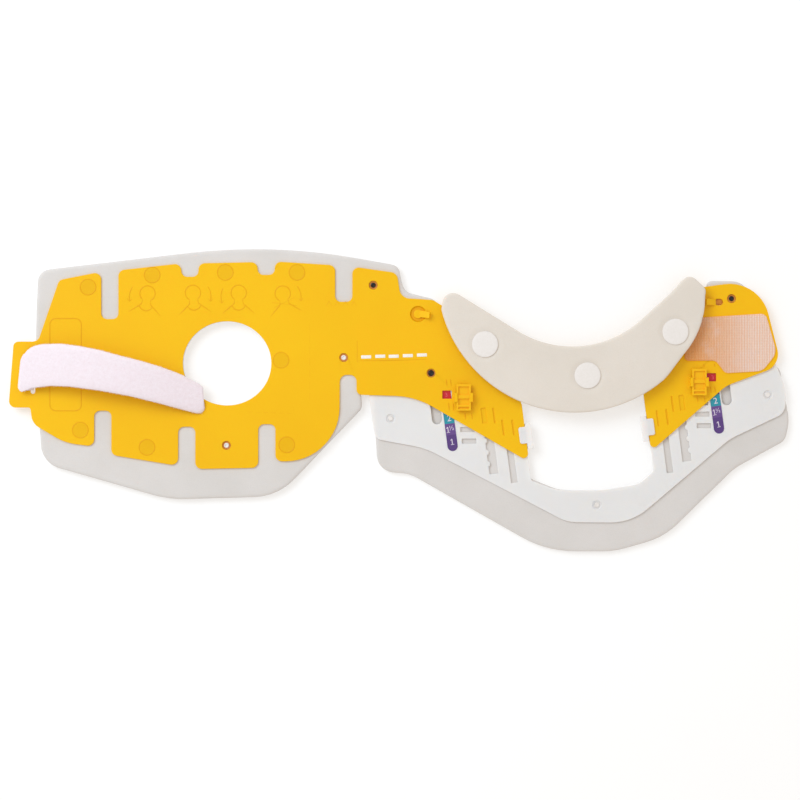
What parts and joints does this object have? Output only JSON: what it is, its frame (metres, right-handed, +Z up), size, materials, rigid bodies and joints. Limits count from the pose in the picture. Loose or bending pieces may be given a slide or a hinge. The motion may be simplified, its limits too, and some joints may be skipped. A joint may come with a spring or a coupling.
{
  "type": "cervical collar",
  "caption": "Flat-laid adjustable extrication collar: slotted back pad, winged sheet with flip-out chin support, sliding chest plate, press locks and closure strap.",
  "frame": {"origin": "centre of the laid-flat collar's outline, on the surface that its foams rest on", "axes": "+X along the collar from the strap end to the patch end, +Y from the chest edge to the head edge, +Z up out of the outer face"},
  "size_m": [0.609, 0.2363, 0.0252],
  "materials": {
    "yellow_sheet": "satin moulded polyethylene sheet",
    "yellow_lock": "satin moulded plastic",
    "clear_sheet": "milky translucent sheet",
    "pad_foam": "fine closed-cell foam",
    "chin_foam": "fine closed-cell foam",
    "white_rivet": "glossy",
    "black_rivet": "glossy",
    "pin_steel": "bright",
    "size_label": "printed film",
    "loop_tape": "brushed loop pile",
    "hook_tape": "woven hook tape"
  },
  "bodies": {
    "collar": {"shell": "yellow_sheet", "back_foam": "pad_foam", "side_foam_right": "pad_foam", "foam_rivets_white": "white_rivet", "foam_rivets_black": "black_rivet", "slide_rivets": "black_rivet", "strap_root": "loop_tape", "strap_fold": "loop_tape", "hook_patch": "hook_tape", "chin_hinge_pins": "pin_steel"},
    "chest": {"chest_plate": "clear_sheet", "chest_foam": "pad_foam", "chest_rivets": "white_rivet", "size_label_left": "size_label", "size_label_right": "size_label"},
    "chin": {"chin_plate": "clear_sheet", "chin_foam": "chin_foam", "chin_rivets": "white_rivet"},
    "left_lock": {"lock_left": "yellow_lock"},
    "right_lock": {"lock_right": "yellow_lock"},
    "strap": {"closure_strap": "loop_tape"}
  },
  "joints": [
    {"name": "height_slide", "type": "slide", "parent": "collar", "child": "chest", "axis": [-0.1305, 0.9914, 0], "range_m": [0, 0.0364]},
    {"name": "chin_flip", "type": "hinge", "parent": "collar", "child": "chin", "pos_m": [0.0415, 0.0797, 0.0094], "axis": [-0.9982, -0.0601, 0], "range_deg": [0, 110]},
    {"name": "lock_left_press", "type": "slide", "parent": "collar", "child": "left_lock", "axis": [0, 0, -1], "range_m": [0, 0.0016]},
    {"name": "lock_right_press", "type": "slide", "parent": "collar", "child": "right_lock", "axis": [0, 0, -1], "range_m": [0, 0.0016]},
    {"name": "strap_unfold", "type": "hinge", "parent": "collar", "child": "strap", "pos_m": [-0.2946, 0.023, 0.011], "axis": [0, -1, 0], "range_deg": [0, 150], "deforming": ["strap_fold"]}
  ]
}
